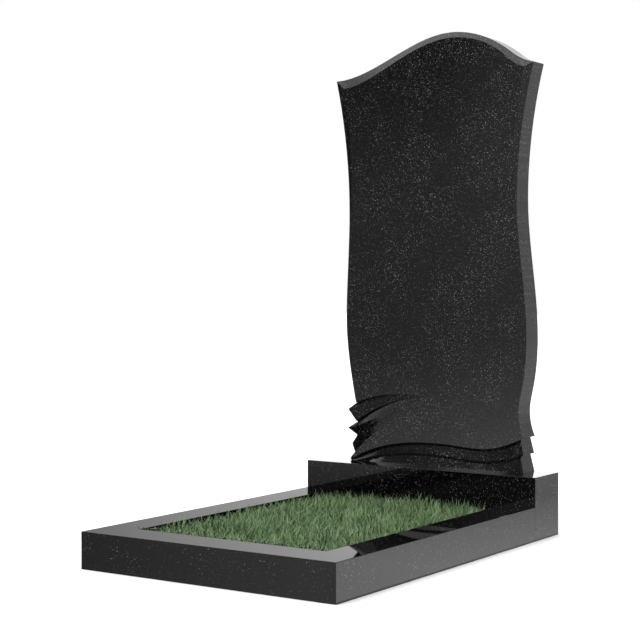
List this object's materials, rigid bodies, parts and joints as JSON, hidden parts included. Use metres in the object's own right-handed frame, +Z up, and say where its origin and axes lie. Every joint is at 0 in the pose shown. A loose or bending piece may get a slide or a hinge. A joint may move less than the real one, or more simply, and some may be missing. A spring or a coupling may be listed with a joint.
{
  "type": "headstone",
  "caption": "Polished granite headstone: wavy bevelled slab with carved gathered cloth at its foot, on a plinth, with a low kerb around a turf bed.",
  "frame": {"origin": "under the middle of the set's footprint, at ground level", "axes": "+Z up; -Y is the front, where the carved face looks and the kerb bed lies; +X to the viewer's right when facing the carved face"},
  "size_m": [0.6, 0.904, 1.134],
  "materials": {
    "granite": "polished",
    "turf": "matte"
  },
  "bodies": {
    "root": {"plinth": "granite", "slab": "granite", "kerb_front": "granite", "kerb_left": "granite", "kerb_right": "granite", "turf": "turf"}
  },
  "joints": []
}
